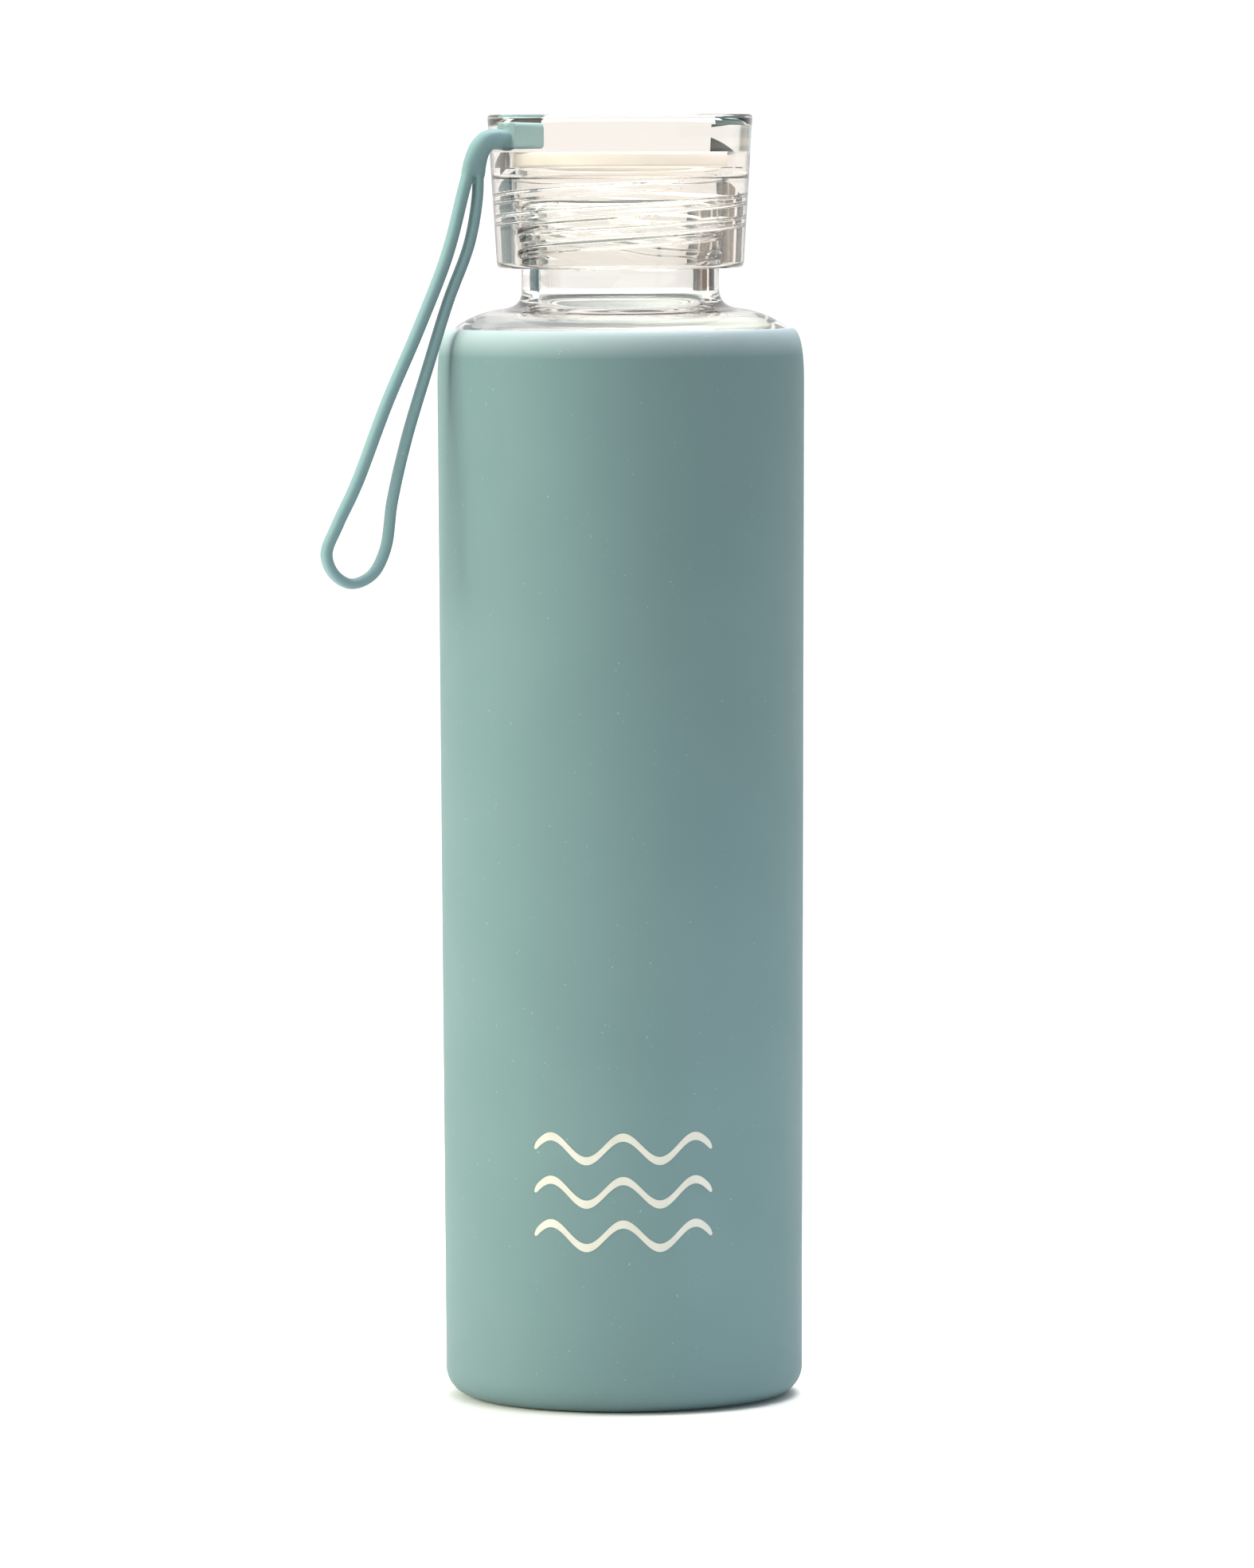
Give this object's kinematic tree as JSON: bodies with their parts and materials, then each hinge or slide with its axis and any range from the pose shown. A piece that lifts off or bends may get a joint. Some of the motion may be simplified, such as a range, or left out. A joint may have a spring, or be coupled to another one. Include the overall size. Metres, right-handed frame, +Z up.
{
  "type": "glass water bottle",
  "caption": "Glass water bottle in a silicone sleeve, with a clear screw cap, a seal ring and a silicone carry loop.",
  "frame": {"origin": "centre of the sleeve's flat underside, on the bottle's axis", "axes": "+Z up along the bottle's axis, front towards -Y, carry loop hanging on the -X side"},
  "size_m": [0.0894, 0.068, 0.238],
  "materials": {
    "clear_glass": "clear fire-polished glass",
    "sleeve_silicone": "matte dusty teal silicone",
    "seal_silicone": "translucent natural silicone",
    "clear_plastic": "polished clear plastic",
    "strap_silicone": "satin dusty teal silicone"
  },
  "bodies": {
    "bottle": {"glass_bottle": "clear_glass", "silicone_sleeve": "sleeve_silicone"},
    "seal": {"seal_ring": "seal_silicone"},
    "cap": {"cap_shell": "clear_plastic", "cap_lid": "clear_plastic", "strap_head": "strap_silicone"},
    "strap": {"strap_loop": "strap_silicone"}
  },
  "joints": [
    {"name": "cap_lift", "type": "slide", "parent": "bottle", "child": "seal", "axis": [0, 0, 1], "range_m": [-0.0061, 0.0161]},
    {"name": "cap_turn", "type": "hinge", "parent": "seal", "child": "cap", "pos_m": [0, 0, 0.22], "axis": [0, 0, 1], "range_deg": [-270, 720]},
    {"name": "strap_swing", "type": "hinge", "parent": "cap", "child": "strap", "pos_m": [-0.02522, -0.01019, 0.2334], "axis": [-0.3746, 0.9272, 0], "range_deg": [0, 150]}
  ],
  "couplings": [
    {"joint": "cap_lift", "follows": "cap_turn", "m_per_rad": 0.0012732}
  ]
}
